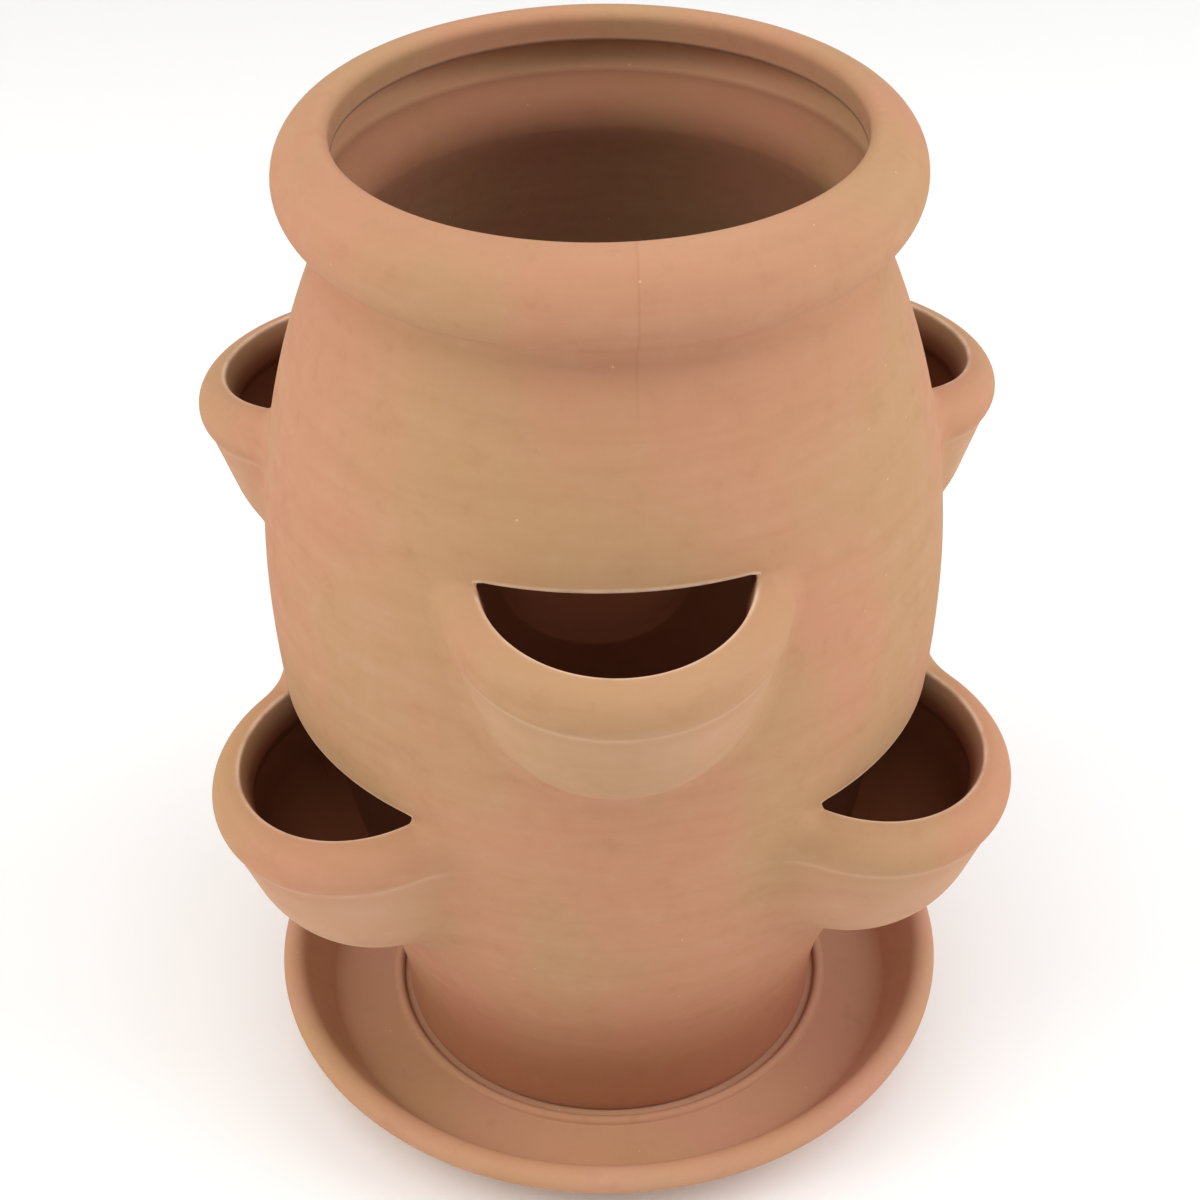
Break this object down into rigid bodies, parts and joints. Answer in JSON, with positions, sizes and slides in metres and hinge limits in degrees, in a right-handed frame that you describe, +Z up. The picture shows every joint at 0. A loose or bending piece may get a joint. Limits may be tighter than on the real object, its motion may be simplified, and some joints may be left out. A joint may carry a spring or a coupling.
{
  "type": "strawberry jar planter",
  "caption": "Unglazed clay jar with a rolled rim and collared side pockets in two staggered tiers, standing in a round drip saucer that it lifts out of.",
  "frame": {"origin": "centre of the flat underside of the saucer, on the jar's axis, where the planter stands", "axes": "+Z up along the jar's axis; -Y is the front, where an upper pocket sits between two lower ones; +X is the viewer's right"},
  "size_m": [0.2746, 0.2958, 0.3649],
  "materials": {
    "jar_clay": "matt unglazed terracotta, thrown and hand smoothed",
    "pocket_clay": "matt unglazed terracotta, paler and dustier than the barrel",
    "saucer_clay": "matt unglazed terracotta"
  },
  "bodies": {
    "saucer": {"saucer": "saucer_clay"},
    "jar": {"jar_body": "jar_clay", "pocket_upper_front": "pocket_clay", "pocket_upper_back_left": "pocket_clay", "pocket_upper_back_right": "pocket_clay", "pocket_lower_front_left": "pocket_clay", "pocket_lower_front_right": "pocket_clay", "pocket_lower_back": "pocket_clay"}
  },
  "joints": [
    {"name": "jar_lift", "type": "slide", "parent": "saucer", "child": "jar", "axis": [0, 0, 1], "range_m": [0, 0.12]}
  ]
}
